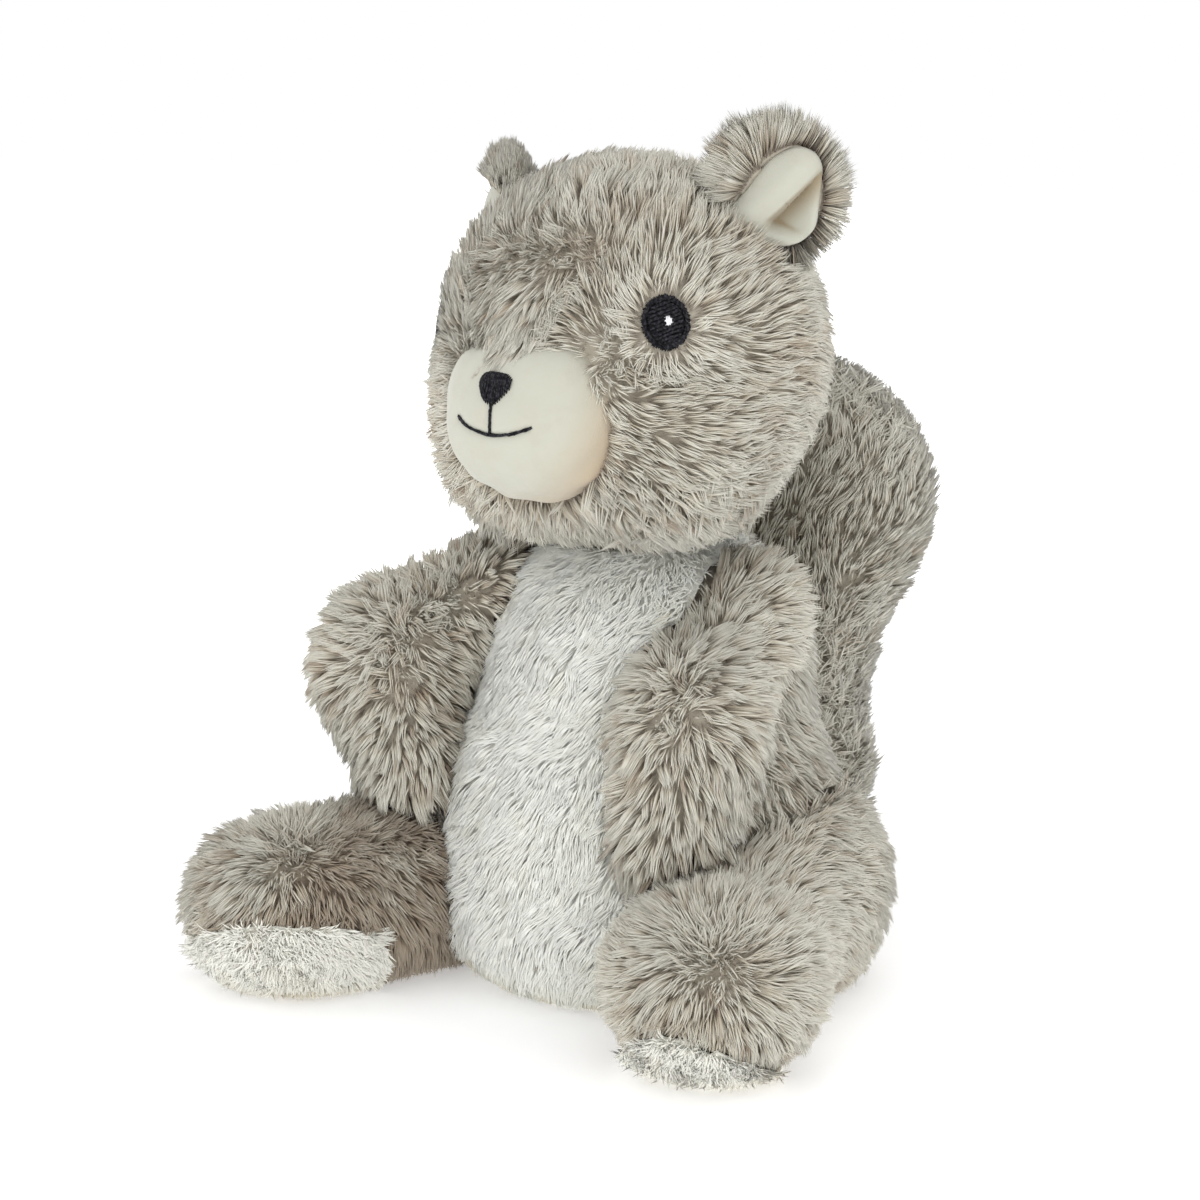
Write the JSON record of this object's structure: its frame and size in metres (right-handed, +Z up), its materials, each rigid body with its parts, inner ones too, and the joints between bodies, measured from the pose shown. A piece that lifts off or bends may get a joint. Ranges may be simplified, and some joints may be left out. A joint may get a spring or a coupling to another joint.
{
  "type": "plush squirrel",
  "caption": "Sitting plush squirrel with grey long-pile fur, a white belly, cream muzzle and soles, embroidered face and an upright tail.",
  "frame": {"origin": "on the floor, at the middle of the torso's flattened seat", "axes": "+Z up, the squirrel faces -Y, +X is its own left side"},
  "size_m": [0.223, 0.2429, 0.2763],
  "materials": {
    "grey_fur": "long wispy plush pile, warm grey tips over brown roots",
    "white_fur": "long white plush pile",
    "cream_fur": "cream plush pile on the soles",
    "cream_velour": "short-pile cream velour, matt with a soft sheen",
    "black_thread": "black satin-stitch embroidery thread",
    "white_thread": "white satin-stitch embroidery thread"
  },
  "bodies": {
    "root": {"torso": "grey_fur", "belly_panel": "white_fur", "head": "grey_fur", "muzzle": "cream_velour", "nose": "black_thread", "mouth_stitching": "black_thread", "left_eye": "black_thread", "right_eye": "black_thread", "left_eye_glint": "white_thread", "right_eye_glint": "white_thread", "left_ear": "grey_fur", "right_ear": "grey_fur", "left_ear_lining": "cream_velour", "right_ear_lining": "cream_velour", "left_arm": "grey_fur", "right_arm": "grey_fur", "left_leg": "grey_fur", "right_leg": "grey_fur", "left_sole": "cream_fur", "right_sole": "cream_fur", "tail": "grey_fur"}
  },
  "joints": []
}
